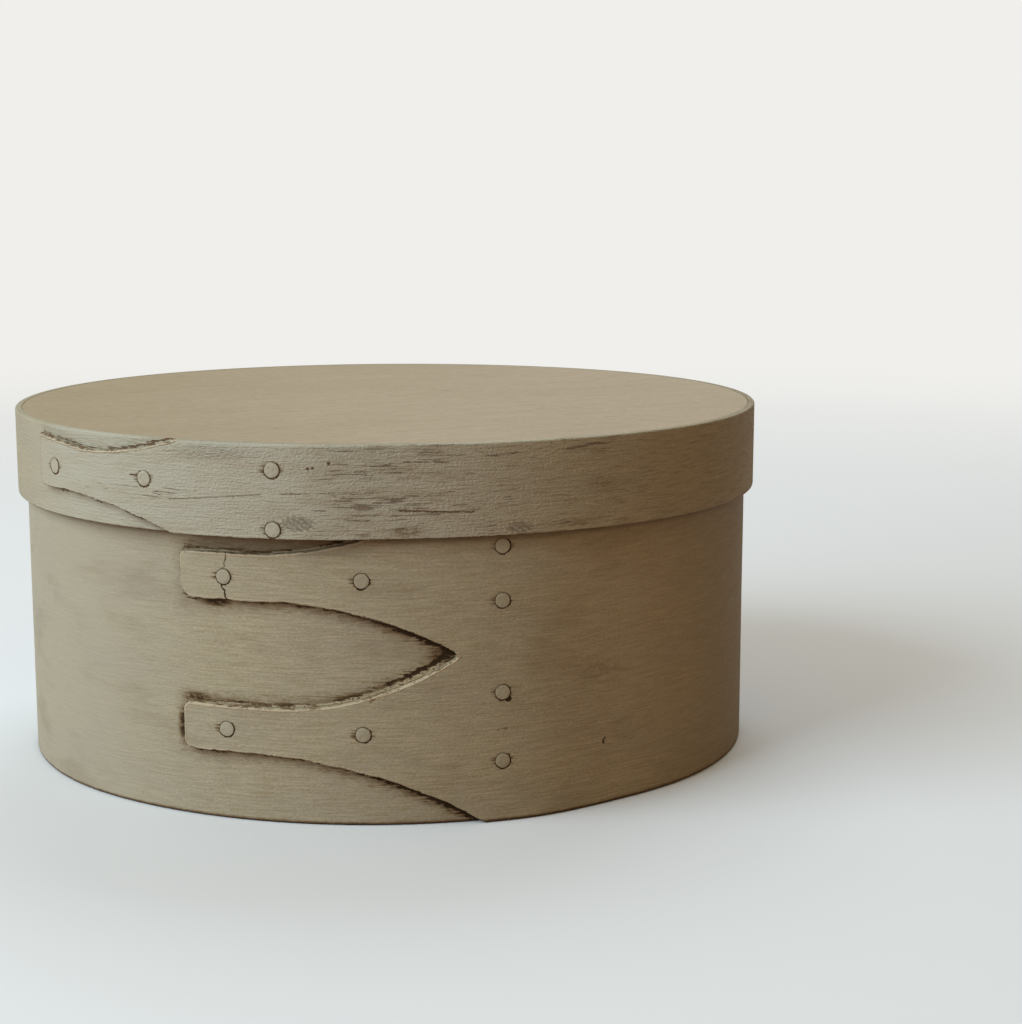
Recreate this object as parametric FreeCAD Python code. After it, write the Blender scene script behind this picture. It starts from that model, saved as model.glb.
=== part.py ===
import FreeCAD, Part
import math
import os

from collections import namedtuple
from FreeCAD import Vector

# An oval bentwood box with a lift-off lid, in millimetres, standing on z = 0 with its long axis on X
# and its lapped joint at the front, facing -Y.  Each band is one thin strip bent round an oval form.
# Its outer end is cut into swallowtail fingers that lap over its feathered inner end, and copper tacks
# hold the lap.  Places along a band are lengths of its outer face from the front, positive towards +X.
# An offset is a distance outwards from that face.

# Overall form of the box, over a single thickness of band
box_length = 176.0
box_width = 160.0
box_end_radius = 75.0
box_band_height = 79.0
box_band_thickness = 1.6
bottom_thickness = 6.0

# Lid, and the room it needs to slide over the box
lid_band_height = 20.0
lid_band_thickness = 1.5
lid_board_thickness = 4.5
lid_end_clearance = 0.45
lid_back_clearance = 0.9
lid_lap_clearance = 0.6
board_ease = 0.3

# Laps
lap_slit = 0.1
feather_length = 28.0
feather_tip = 0.25
row_to_feather = 4.0
finger_bevel = 0.45

# Box joint: two fingers, with a pointed arch between them and a half notch above and below
box_tip_at = -46.2
box_tip_tack_inset = 10.4
box_second_tack_inset = 40.1
box_row_inset = 69.8
box_low_notch = dict(depth=15.6, radius=91.0, deepest_inset=15.0, flare=0.0)
box_high_notch = dict(depth=19.6, radius=91.0, deepest_inset=15.0, flare=0.0)
box_arch = dict(half_width=11.6, radius=74.0, deepest_inset=21.0)
box_low_row_rises = (-7.0, 8.2)
box_high_row_rises = (-5.1, 6.7)
box_corner_radii = (1.8, 2.0, 3.4, 1.4)

# Lid joint: one finger with a half notch above and below
lid_tip_at = -89.4
lid_tip_tack_inset = 7.0
lid_second_tack_inset = 35.4
lid_row_inset = 65.1
lid_low_notch = dict(depth=6.5, radius=93.0, deepest_inset=8.0, flare=0.0)
lid_high_notch = dict(depth=3.7, radius=84.0, deepest_inset=18.0, flare=0.1)
lid_row_rises = (-9.3, 3.3)
lid_corner_radii = (1.5, 0.9)

# Copper tacks: a thin head with hammered slopes, let into the wood, a square shank and a clinched point
tack_head_diameter = 3.2
tack_face_diameter = 2.1
tack_head_rim = 0.32
tack_head_rise = 0.08
tack_sink = 0.25
tack_ring_gap = 0.14
tack_shank = 1.0
tack_clinch_length = 2.8
tack_clinch_bury = 0.4
tack_clinch_proud = 0.15

# Whittled wooden pegs through the bands into the edges of the boards
peg_diameter = 2.0
peg_sides = 8
peg_length = 10.0
box_peg_count = 7
lid_peg_count = 7
peg_lap_margin = 14.0

# How far cutting shapes reach past what they cut, and how finely their curves are followed
overcut = 1.0
loft_stations = 14
ramp_points = 7


RoundEdge = namedtuple("RoundEdge", "centre radius start end")


class Oval:
    """An oval of four tangent arcs: a front and a back side, and two ends fitted between them."""

    def __init__(self, front_radius, back_radius, side_reach, half_length):
        self.front_radius = front_radius
        self.back_radius = back_radius
        self.side_reach = side_reach
        self.half_length = half_length
        front = Vector(0, side_reach, 0)
        back = Vector(0, -side_reach, 0)
        end_radius, end_y = self.fit_end()
        right = Vector(half_length - end_radius, end_y, 0)
        left = Vector(end_radius - half_length, end_y, 0)
        to_front = math.atan2(right.y - front.y, right.x)
        to_back = math.atan2(right.y - back.y, right.x)
        self.arcs = [
            RoundEdge(front, front_radius, -math.pi / 2, to_front),
            RoundEdge(right, end_radius, to_front, to_back),
            RoundEdge(back, back_radius, to_back, math.pi - to_back),
            RoundEdge(left, end_radius, math.pi - to_back, math.pi - to_front),
            RoundEdge(front, front_radius, math.pi - to_front, 3 * math.pi / 2),
        ]
        self.starts = []
        self.perimeter = 0.0
        for arc in self.arcs:
            self.starts.append(self.perimeter)
            self.perimeter += arc.radius * (arc.end - arc.start)

    def fit_end(self):
        """Radius and centre height in plan of the end arc that is tangent to both sides."""
        front, back, reach = self.front_radius, self.back_radius, self.side_reach
        shift = (back ** 2 - front ** 2) / (4 * reach) - reach
        slope = (front - back) / (2 * reach)
        linear = 2 * (front - self.half_length + shift * slope)
        constant = self.half_length ** 2 - front ** 2 + shift ** 2
        root = math.sqrt(linear ** 2 - 4 * slope ** 2 * constant)
        end_radius = -2 * constant / (linear + root)
        return end_radius, shift + reach + slope * end_radius

    def grown(self, offset):
        """The oval that runs everywhere at one distance outside this one."""
        return Oval(self.front_radius + offset, self.back_radius + offset,
                    self.side_reach, self.half_length + offset)

    def arc_at(self, place):
        """The arc that holds a place, and the place's angle on it."""
        run = place % self.perimeter
        index = max(i for i, start in enumerate(self.starts) if start <= run)
        arc = self.arcs[index]
        return arc, arc.start + (run - self.starts[index]) / arc.radius

    def normal(self, place):
        angle = self.arc_at(place)[1]
        return Vector(math.cos(angle), math.sin(angle), 0)

    def point(self, place, offset=0.0, height=0.0):
        arc = self.arc_at(place)[0]
        return arc.centre + self.normal(place) * (arc.radius + offset) + Vector(0, 0, height)

    def tangent(self, place):
        outward = self.normal(place)
        return Vector(-outward.y, outward.x, 0)

    def edges(self, place_from, place_to, offset):
        """Arcs along the oval at one offset, from one place forwards to another."""
        stops = [place_from]
        laps = range(math.floor(place_from / self.perimeter), math.ceil(place_to / self.perimeter))
        for lap in laps:
            for start in self.starts:
                stop = start + lap * self.perimeter
                if place_from < stop < place_to:
                    stops.append(stop)
        stops.append(place_to)
        pieces = []
        for first, last in zip(stops, stops[1:]):
            arc, middle = self.arc_at((first + last) / 2)
            reach = (last - first) / 2 / arc.radius
            spots = [arc.centre + Vector(math.cos(angle), math.sin(angle), 0) * (arc.radius + offset)
                     for angle in (middle - reach, middle, middle + reach)]
            pieces.append(Part.Arc(*spots).toShape())
        return pieces

    def face(self, offset, height):
        wire = Part.Wire(self.edges(0.0, self.perimeter, offset))
        wire.translate(Vector(0, 0, height))
        return Part.Face(wire)


def smooth_step(share):
    return share * share * (3 - 2 * share)


def ramp_edge(oval, place_from, place_to, offset_from, offset_to):
    """A smooth edge that leaves one offset and settles at another."""
    spots = []
    for index in range(ramp_points):
        share = index / (ramp_points - 1)
        place = place_from + (place_to - place_from) * share
        offset = offset_from + (offset_to - offset_from) * smooth_step(share)
        spots.append(oval.point(place, offset))
    curve = Part.BSplineCurve()
    curve.interpolate(Points=spots, InitialTangent=oval.tangent(place_from),
                      FinalTangent=oval.tangent(place_to))
    return curve.toShape()


def line(first, last):
    return Part.LineSegment(first, last).toShape()


class Lap:
    """Where a band's two ends overlap: the finger tips, the row of tacks and the feathered inner end."""

    def __init__(self, oval, thickness, tip_at, row_inset):
        self.oval = oval
        self.thickness = thickness
        self.tip_at = tip_at
        self.row_at = tip_at + row_inset
        self.feather_from = self.row_at + row_to_feather
        self.feather_to = self.feather_from + feather_length
        self.face_offset = lap_slit + thickness
        self.stack = self.face_offset + thickness

    def strip(self, height_from, height):
        """The whole strip bent round the form, its outer end still square."""
        oval = self.oval
        turn = oval.perimeter
        thickness = self.thickness
        feather_offset = feather_tip - thickness
        step_at = self.feather_to + lap_slit
        tip_inner = oval.point(self.tip_at, lap_slit)
        tip_outer = oval.point(self.tip_at + finger_bevel, self.face_offset)
        step_inner = oval.point(step_at, -thickness)
        step_outer = oval.point(step_at, feather_offset + lap_slit)
        end_outer = oval.point(self.feather_to, feather_offset)
        end_inner = oval.point(self.feather_to, -thickness)
        edges = [line(tip_inner, tip_outer)]
        edges += oval.edges(self.tip_at + finger_bevel, self.feather_from, self.face_offset)
        edges.append(ramp_edge(oval, self.feather_from, self.feather_to, self.face_offset, 0.0))
        edges += oval.edges(self.feather_to, turn + self.feather_from, 0.0)
        edges.append(ramp_edge(oval, self.feather_from, self.feather_to, 0.0, feather_offset))
        edges.append(line(end_outer, end_inner))
        edges += oval.edges(step_at, turn + self.feather_to, -thickness)
        edges.append(line(step_inner, step_outer))
        edges.append(ramp_edge(oval, self.feather_from, step_at, lap_slit, feather_offset + lap_slit))
        edges += oval.edges(self.tip_at, self.feather_from, lap_slit)
        wire = Part.Wire(Part.__sortEdges__(edges))
        wire.translate(Vector(0, 0, height_from))
        return Part.Face(wire).extrude(Vector(0, 0, height))


# Ovals of the outer faces.  The lid's form is fuller in front, where it passes over the box's lap.
box_half_length = box_length / 2
box_half_width = box_width / 2
side_squares = box_half_length ** 2 + box_half_width ** 2 - 2 * box_half_length * box_end_radius
side_radius = side_squares / (2 * (box_half_width - box_end_radius))
box_oval = Oval(side_radius, side_radius, side_radius - box_half_width, box_half_length)
lap_room = lap_slit + box_band_thickness + lid_lap_clearance
lid_oval = Oval(side_radius + lap_room, side_radius + lid_back_clearance, side_radius - box_half_width,
                box_half_length + lid_end_clearance).grown(lid_band_thickness)

# Heights: the lid's board lies on the box's rim, and its band hangs from the board's top face.
lid_board_from = box_band_height
lid_top = lid_board_from + lid_board_thickness
lid_band_from = lid_top - lid_band_height

box_lap = Lap(box_oval, box_band_thickness, box_tip_at, box_row_inset)
lid_lap = Lap(lid_oval, lid_band_thickness, lid_tip_at, lid_row_inset)

# Heights of the fingers
box_low_edge = box_low_notch["depth"]
box_high_edge = box_band_height - box_high_notch["depth"]
box_arch_line = (box_low_edge + box_high_edge) / 2
box_low_finger = (box_low_edge + box_arch_line - box_arch["half_width"]) / 2
box_high_finger = (box_high_edge + box_arch_line + box_arch["half_width"]) / 2
lid_low_edge = lid_band_from + lid_low_notch["depth"]
lid_high_edge = lid_top - lid_high_notch["depth"]
lid_finger = (lid_low_edge + lid_high_edge) / 2


def notch_drop(notch, inset):
    """How far a notch's edge has fallen back from its deepest line, at an inset from the finger tip."""
    reach = inset - notch["deepest_inset"]
    if reach < 0:
        return -reach * notch["flare"]
    return notch["radius"] - math.sqrt(notch["radius"] ** 2 - reach ** 2)


def edge_cutter(lap, edge_height, far_height, inset_to):
    """Wood to take off the outer layer between a finger's bevelled long edge and a far height."""
    side = 1.0 if far_height > edge_height(0.0) else -1.0
    inner = lap_slit / 2
    outer = lap.face_offset + overcut
    spill = finger_bevel * (outer - inner) / lap.thickness
    sections = []
    for index in range(loft_stations):
        inset = -overcut + (inset_to + overcut) * index / (loft_stations - 1)
        place = lap.tip_at + inset
        edge = edge_height(inset)
        corners = [
            lap.oval.point(place, inner, edge),
            lap.oval.point(place, outer, edge - side * spill),
            lap.oval.point(place, outer, far_height),
            lap.oval.point(place, inner, far_height),
        ]
        sections.append(Part.makePolygon(corners + corners[:1]))
    return Part.makeLoft(sections, True)


def local_placement(oval, place, offset, height):
    """Axes at a spot on a band: x along it, y up and z outwards."""
    rotation = FreeCAD.Rotation(oval.tangent(place), Vector(0, 0, 1), oval.normal(place), "ZXY")
    return FreeCAD.Placement(oval.point(place, offset, height), rotation)


def tack_solid(lap, place, height):
    """A tack driven through both layers: sloped head, square shank and point clinched along the band."""
    radius = tack_head_diameter / 2
    seat = -tack_sink
    rim = Part.makeCylinder(radius, tack_head_rim, Vector(0, 0, seat))
    slope = Part.makeCone(radius, tack_face_diameter / 2, tack_head_rise, Vector(0, 0, seat + tack_head_rim))
    half = tack_shank / 2
    inside = -lap.stack
    corners = [
        Vector(-half, -half, seat + tack_head_rim / 2),
        Vector(-half, -half, inside - tack_clinch_proud),
        Vector(tack_clinch_length, -half, inside - tack_clinch_proud),
        Vector(half, -half, inside + tack_clinch_bury),
        Vector(half, -half, seat + tack_head_rim / 2),
    ]
    shank = Part.Face(Part.makePolygon(corners + corners[:1])).extrude(Vector(0, tack_shank, 0))
    tack = rim.fuse([slope, shank]).removeSplitter()
    tack.Placement = local_placement(lap.oval, place, lap.face_offset, height)
    return tack


def tack_seat(lap, place, height):
    """The round pocket that a tack's head stands in, a little wider than the head."""
    radius = tack_head_diameter / 2 + tack_ring_gap
    pocket = Part.makeCylinder(radius, tack_sink + overcut, Vector(0, 0, -tack_sink), Vector(0, 0, 1))
    pocket.Placement = local_placement(lap.oval, place, lap.face_offset, height)
    return pocket


def peg_solid(oval, place, height):
    """A peg whittled to flat sides, its outer end flush with the band."""
    corner_radius = peg_diameter / 2
    corners = []
    for side in range(peg_sides):
        angle = 2 * math.pi * (side + 0.5) / peg_sides
        corners.append(Vector(corner_radius * math.cos(angle), corner_radius * math.sin(angle), 0))
    peg = Part.Face(Part.makePolygon(corners + corners[:1])).extrude(Vector(0, 0, -peg_length))
    peg.Placement = local_placement(oval, place, 0.0, height)
    return peg


def peg_places(lap, count):
    """Even places round the stretch of band that is a single layer."""
    first = lap.feather_to + peg_lap_margin
    last = lap.oval.perimeter + lap.tip_at - peg_lap_margin
    return [first + (last - first) * index / (count - 1) for index in range(count)]


def cut_all(solid, tools):
    return solid.cut(Part.makeCompound(tools)).removeSplitter().Solids[0]


def export(shape, name):
    shape.exportStep("parts/" + name + ".step")


def low_notch_cutter(lap, notch, edge_line, rim):
    """Half notch under the lowest finger: its edge falls away to the band's lower rim."""
    def edge_height(inset):
        return edge_line - notch_drop(notch, inset)
    return edge_cutter(lap, edge_height, rim - 4 * overcut, notch_reach(notch))


def high_notch_cutter(lap, notch, edge_line, rim):
    """Half notch over the highest finger: its edge climbs to the band's upper rim."""
    def edge_height(inset):
        return edge_line + notch_drop(notch, inset)
    return edge_cutter(lap, edge_height, rim + 4 * overcut, notch_reach(notch))


def notch_reach(notch):
    """Inset at which a notch's edge has run just past the rim."""
    drop = notch["depth"] + overcut
    return notch["deepest_inset"] + math.sqrt(notch["radius"] ** 2 - (notch["radius"] - drop) ** 2)


def arch_cutter(lap, arch, arch_line):
    """Pointed opening between two fingers: the wood that lies between its two curved edges."""
    def drop(inset):
        reach = max(0.0, inset - arch["deepest_inset"])
        return arch["radius"] - math.sqrt(arch["radius"] ** 2 - reach ** 2)

    def lower_edge(inset):
        return arch_line - arch["half_width"] + drop(inset)

    def upper_edge(inset):
        return arch_line + arch["half_width"] - drop(inset)

    radius = arch["radius"]
    fall = arch["half_width"] + overcut
    inset_to = arch["deepest_inset"] + math.sqrt(radius ** 2 - (radius - fall) ** 2)
    above = edge_cutter(lap, lower_edge, arch_line + arch["half_width"] + overcut, inset_to)
    below = edge_cutter(lap, upper_edge, arch_line - arch["half_width"] - overcut, inset_to)
    return above.common(below)


def round_corner(band, lap, height, radius):
    """Round the corner of a finger tip at one height: a short edge across the band's thickness."""
    tip = lap.oval.point(lap.tip_at, lap_slit, height)
    corners = []
    for edge in band.Edges:
        ends = [vertex.Point for vertex in edge.Vertexes]
        if len(ends) == 2 and all((end - tip).Length < 1.5 * lap.thickness for end in ends):
            if (ends[0] - ends[1]).Length > 0.8 * lap.thickness:
                corners.append(edge)
    return band.makeFillet(radius, corners)


def fingered_band(lap, strip, cutters, corner_heights, corner_radii):
    """A strip with its outer end cut into fingers and the corners of their tips rounded."""
    for cutter in cutters:
        strip = strip.cut(cutter)
    band = strip.Solids[0]
    for height, radius in zip(corner_heights, corner_radii):
        band = round_corner(band, lap, height, radius)
    return band


def make_box_band():
    strip = box_lap.strip(0.0, box_band_height)
    cutters = [
        low_notch_cutter(box_lap, box_low_notch, box_low_edge, 0.0),
        high_notch_cutter(box_lap, box_high_notch, box_high_edge, box_band_height),
        arch_cutter(box_lap, box_arch, box_arch_line),
    ]
    heights = [box_low_edge, box_arch_line - box_arch["half_width"],
               box_arch_line + box_arch["half_width"], box_high_edge]
    return fingered_band(box_lap, strip, cutters, heights, box_corner_radii)


def make_lid_band():
    strip = lid_lap.strip(lid_band_from, lid_band_height)
    cutters = [
        low_notch_cutter(lid_lap, lid_low_notch, lid_low_edge, lid_band_from),
        high_notch_cutter(lid_lap, lid_high_notch, lid_high_edge, lid_top),
    ]
    heights = [lid_low_edge - notch_drop(lid_low_notch, 0.0), lid_high_edge + notch_drop(lid_high_notch, 0.0)]
    return fingered_band(lid_lap, strip, cutters, heights, lid_corner_radii)


def box_tack_spots():
    """Two tacks along each finger, then the row across the band behind them."""
    spots = []
    for finger in (box_high_finger, box_low_finger):
        spots.append((box_tip_at + box_tip_tack_inset, finger))
        spots.append((box_tip_at + box_second_tack_inset, finger))
    for rise in box_high_row_rises:
        spots.append((box_lap.row_at, box_high_finger + rise))
    for rise in box_low_row_rises:
        spots.append((box_lap.row_at, box_low_finger + rise))
    return spots


def lid_tack_spots():
    spots = [
        (lid_tip_at + lid_tip_tack_inset, lid_finger),
        (lid_tip_at + lid_second_tack_inset, lid_finger),
    ]
    for rise in lid_row_rises:
        spots.append((lid_lap.row_at, lid_finger + rise))
    return spots


def make_board(oval, band_thickness, height_from, height_to):
    """A board cut to the inside of a band."""
    return oval.face(-band_thickness, height_from).extrude(Vector(0, 0, height_to - height_from))


def eased(board, height):
    """The board with the edge round its face at one height eased."""
    rim = [edge for edge in board.Edges if all(abs(v.Z - height) < 1e-6 for v in edge.Vertexes)]
    return board.makeChamfer(board_ease, rim)


def build():
    os.makedirs("parts", exist_ok=True)
    box_tacks = [tack_solid(box_lap, place, height) for place, height in box_tack_spots()]
    lid_tacks = [tack_solid(lid_lap, place, height) for place, height in lid_tack_spots()]
    box_seats = [tack_seat(box_lap, place, height) for place, height in box_tack_spots()]
    lid_seats = [tack_seat(lid_lap, place, height) for place, height in lid_tack_spots()]
    box_pegs = [peg_solid(box_oval, place, bottom_thickness / 2)
                for place in peg_places(box_lap, box_peg_count)]
    lid_pegs = [peg_solid(lid_oval, place, lid_top - lid_board_thickness / 2)
                for place in peg_places(lid_lap, lid_peg_count)]
    box_bottom = make_board(box_oval, box_band_thickness, 0.0, bottom_thickness)
    lid_board = eased(make_board(lid_oval, lid_band_thickness, lid_board_from, lid_top), lid_top)

    export(cut_all(make_box_band(), box_seats + box_tacks + box_pegs), "box_band")
    export(cut_all(box_bottom, box_pegs), "box_bottom")
    export(cut_all(make_lid_band(), lid_seats + lid_tacks + lid_pegs), "lid_band")
    export(cut_all(lid_board, lid_pegs), "lid_board")
    groups = {"box_tack": box_tacks, "lid_tack": lid_tacks, "box_peg": box_pegs, "lid_peg": lid_pegs}
    for prefix, solids in groups.items():
        for number, solid in enumerate(solids, start=1):
            export(solid, prefix + "_" + str(number))


build()
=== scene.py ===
import math

import bmesh
import bpy
from bpy.props import FloatProperty, FloatVectorProperty, IntProperty, PointerProperty
from mathutils import Matrix, Vector, noise


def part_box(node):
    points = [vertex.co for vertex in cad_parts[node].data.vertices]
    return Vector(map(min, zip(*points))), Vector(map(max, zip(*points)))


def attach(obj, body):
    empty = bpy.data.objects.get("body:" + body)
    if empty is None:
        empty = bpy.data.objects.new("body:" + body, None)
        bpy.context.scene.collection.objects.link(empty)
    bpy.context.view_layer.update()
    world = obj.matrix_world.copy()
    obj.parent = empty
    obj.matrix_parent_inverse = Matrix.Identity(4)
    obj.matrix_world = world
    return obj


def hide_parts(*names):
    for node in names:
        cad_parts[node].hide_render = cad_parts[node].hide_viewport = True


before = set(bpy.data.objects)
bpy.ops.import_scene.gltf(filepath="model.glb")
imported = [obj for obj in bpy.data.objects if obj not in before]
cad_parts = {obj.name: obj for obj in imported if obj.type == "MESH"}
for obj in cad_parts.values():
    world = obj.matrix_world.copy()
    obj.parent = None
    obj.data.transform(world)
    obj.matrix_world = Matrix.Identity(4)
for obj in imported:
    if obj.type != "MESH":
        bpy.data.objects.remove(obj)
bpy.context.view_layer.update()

bl_info = {
    "name": "Bentwood Oval Box",
    "version": (1, 0, 0),
    "blender": (4, 5, 0),
    "location": "View3D > Sidebar > Oval Box",
    "description": "Shapes and paints an oval bentwood box with a lift-off lid round its solid frame",
    "category": "Add Mesh",
}

mm = 0.001


def length(name, description, millimetres):
    return FloatProperty(name=name, description=description, default=millimetres * mm,
                         unit="LENGTH", precision=5)


def lengths(name, description, *millimetres):
    return FloatVectorProperty(name=name, description=description, size=len(millimetres), unit="LENGTH",
                               precision=5, default=[value * mm for value in millimetres])


def share(name, description, default):
    return FloatProperty(name=name, description=description, default=default, subtype="FACTOR")


def degrees(name, description, default):
    return FloatProperty(name=name, description=description, default=math.radians(default),
                         unit="ROTATION")


def tint(name, description, red, green, blue):
    """A colour given as screen values from 0 to 255."""
    def linear(value):
        value /= 255
        return value / 12.92 if value <= 0.04045 else ((value + 0.055) / 1.055) ** 2.4
    return FloatVectorProperty(name=name, description=description, subtype="COLOR", size=3,
                               default=(linear(red), linear(green), linear(blue)))


# ---------------------------------------------------------------- sizes and colours


class BandSizes(bpy.types.PropertyGroup):
    """What both bands share."""
    end_radius: length("End radius", "Radius of the box's rounded ends, over the band", 75.0)
    slit: length("Lap slit", "Air between the two layers of a lap", 0.1)
    feather_length: length("Feather length", "How far the inner end thins out", 28.0)
    feather_tip: length("Feather tip", "Wood left at the very end of the feather", 0.25)
    row_to_feather: length("Row to feather", "From the row of tacks to where the lap begins to fall", 4.0)
    edge_round: length("Edge rounding", "Rounding of the outer edges", 0.4)
    knife_waver: length("Knife waver", "How far the hand-cut edges wander", 0.36)
    crotch_round: length("Crotch rounding", "Reach of the rounding where two fingers meet", 1.6)
    outline_step: length("Outline step", "Spacing of points along a finger's curved edge", 0.9)
    run_step: length("Run step", "Spacing of cross cuts along a band", 3.0)
    height_step: length("Height step", "Spacing of cuts up a band", 4.0)
    bulge: length("Bulge", "Unevenness of the bent wood", 0.1)
    sharp_angle: degrees("Sharp angle", "Faces meeting at more than this keep a sharp edge", 38)
    sag: length("Sag", "How far a board cups", 0.12)
    board_gap: length("Board gap", "Air between a board and its band", 0.02)
    board_sides: IntProperty(name="Board sides", description="Points round a board", default=180)
    bottom_ease: length("Bottom ease", "Rounding of the bottom board's upper edge", 0.1)
    lid_ease: length("Lid ease", "Rounding of the lid board's upper edge", 0.3)


class BoxBandSizes(bpy.types.PropertyGroup):
    """The box's band and its paint."""
    thickness: length("Thickness", "Wood of the box's band", 1.6)
    foot_round: length("Foot rounding", "Wear of the lower rim, which the box stands on", 0.6)
    tip_at: length("Finger tips", "Place of the tips along the front, towards +X", -46.2)
    tip_tack: length("Tip tack", "From the tips to the first tacks", 10.4)
    second_tack: length("Second tack", "From the tips to the second tacks", 40.1)
    row: length("Row", "From the tips to the row of tacks", 69.8)
    low_notch: length("Low notch", "Depth of the notch under the lower finger", 15.6)
    high_notch: length("High notch", "Depth of the notch over the upper finger", 19.6)
    notch_radius: length("Notch radius", "Radius of both notches", 91.0)
    notch_straight: length("Notch straight", "Straight part of the fingers' outer edges", 15.0)
    arch_half_width: length("Arch half width", "Half the opening between the fingers", 11.6)
    arch_radius: length("Arch radius", "Radius of both sides of the pointed opening", 74.0)
    arch_straight: length("Arch straight", "Straight part of the fingers' inner edges", 21.0)
    corner_radii: lengths("Corners", "Rounding of the fingers' corners, upwards", 1.8, 2.0, 3.4, 1.4)
    high_row: lengths("High row", "Rises of the row's tacks from the upper finger", -5.1, 6.7)
    low_row: lengths("Low row", "Rises of the row's tacks from the lower finger", -7.0, 8.2)
    brushed: share("Brush marks", "Strength of the brush marks", 1.0)
    relief: length("Relief", "Height of the paint's texture", 0.12)
    fillet: length("Fillet", "Paint built up over the fingers' upper edges", 0.9)
    smeared: share("Smeared", "How far glaze is smeared past the fingers", 1.0)


class LidBandSizes(bpy.types.PropertyGroup):
    """The lid's band and its paint."""
    thickness: length("Thickness", "Wood of the lid's band", 1.5)
    foot_round: length("Foot rounding", "Wear of the lower rim", 0.1)
    tip_at: length("Finger tip", "Place of the tip along the front, towards +X", -89.4)
    tip_tack: length("Tip tack", "From the tip to the first tack", 7.0)
    second_tack: length("Second tack", "From the tip to the second tack", 35.4)
    row: length("Row", "From the tip to the row of tacks", 65.1)
    low_notch: length("Low notch", "Depth of the notch under the finger", 6.5)
    low_radius: length("Low radius", "Radius of the notch under the finger", 93.0)
    low_straight: length("Low straight", "Straight part of the finger's lower edge", 8.0)
    high_notch: length("High notch", "Depth of the notch over the finger", 3.7)
    high_radius: length("High radius", "Radius of the notch over the finger", 84.0)
    high_straight: length("High straight", "Sloped part of the finger's upper edge", 18.0)
    high_flare: share("High flare", "Slope of that part towards the tip", 0.1)
    corner_radii: lengths("Corners", "Rounding of the finger's corners, upwards", 1.5, 0.9)
    row_rises: lengths("Row rises", "Rises of the row's tacks from the finger's middle", -9.3, 3.3)
    brushed: share("Brush marks", "Strength of the brush marks", 1.3)
    relief: length("Relief", "Height of the paint's texture", 0.34)
    fillet: length("Fillet", "Paint built up over the finger's upper edge", 0.4)
    smeared: share("Smeared", "How far glaze is smeared past the finger", 0.45)


class FastenerSizes(bpy.types.PropertyGroup):
    """Tacks and pegs."""
    head: length("Tack head", "Diameter of a tack's head", 3.2)
    head_sides: IntProperty(name="Head sides", description="Points round a head", default=24)
    rim: length("Head rim", "Height of the head's rim", 0.32)
    crown: length("Head crown", "Rise of the head over its rim", 0.08)
    sink: length("Head sink", "How deep the head is let into the wood", 0.25)
    ring: length("Ring", "Gap round the head", 0.14)
    shank: length("Shank", "Thickness of the shank", 1.0)
    clinch: length("Clinch", "Length of the point that is turned over inside", 2.8)
    proud: length("Clinch height", "How far the turned point stands off the wood", 0.15)
    peg: length("Peg", "Thickness of a peg over its corners", 2.0)
    peg_length: length("Peg length", "Length of a peg", 10.0)
    peg_seat: length("Peg seat", "How deep the groove round a peg is", 0.06)
    peg_ease: length("Peg ease", "Rounding of a peg's outer end", 0.05)
    peg_sides: IntProperty(name="Peg sides", description="Flat sides of a whittled peg", default=8)
    pegs: IntProperty(name="Pegs", description="Pegs in each band", default=7)
    peg_margin: length("Peg margin", "From the lap to the nearest pegs", 14.0)


class PaintColours(bpy.types.PropertyGroup):
    """Colours of the paint, the wood and the copper."""
    paint: tint("Paint", "Aged grey-green milk paint", 166, 165, 143)
    paint_cool: tint("Cool paint", "Cooler patches of the paint", 161, 161, 143)
    paint_warm: tint("Warm paint", "Handled, browner patches of the paint", 151, 143, 114)
    top_paint: tint("Top paint", "Paint on the lid's board", 173, 161, 139)
    # highlight: pale paint worn on raised edges and in the paint's texture, and also the painted highlight
    # on ledges and up-facing finger edges
    highlight: tint("Worn paint", "Paint polished pale on raised edges", 186, 179, 154)
    glaze: tint("Glaze", "Dark brown glaze left in corners", 50, 36, 14)
    stain: tint("Stain", "Thin brown wash over the paint", 106, 86, 57)
    # under_lid_shade: painted shade under the lid's rim and in the recess the lid overhangs
    under_lid_shade: tint("Dull paint", "Paint dulled by dirt where the lid covers it", 96, 91, 73)
    # paler_cooler: paler, cooler paint laid towards the left of both bands and over the lid's tack heads
    paler_cooler: tint("Fresh paint", "Paler, cooler paint that has seen less wear", 174, 178, 164)
    bare: tint("Rubbed wood", "Brown wood where the paint is rubbed through", 96, 66, 52)
    rust: tint("Red glaze", "Redder glaze on the lid", 98, 75, 54)
    inside: tint("Inside", "Bare planed wood inside", 196, 164, 124)
    inside_dark: tint("Inside grain", "Late growth of that wood", 160, 122, 84)
    copper: tint("Copper", "Turned points of the tacks", 170, 104, 76)


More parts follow.
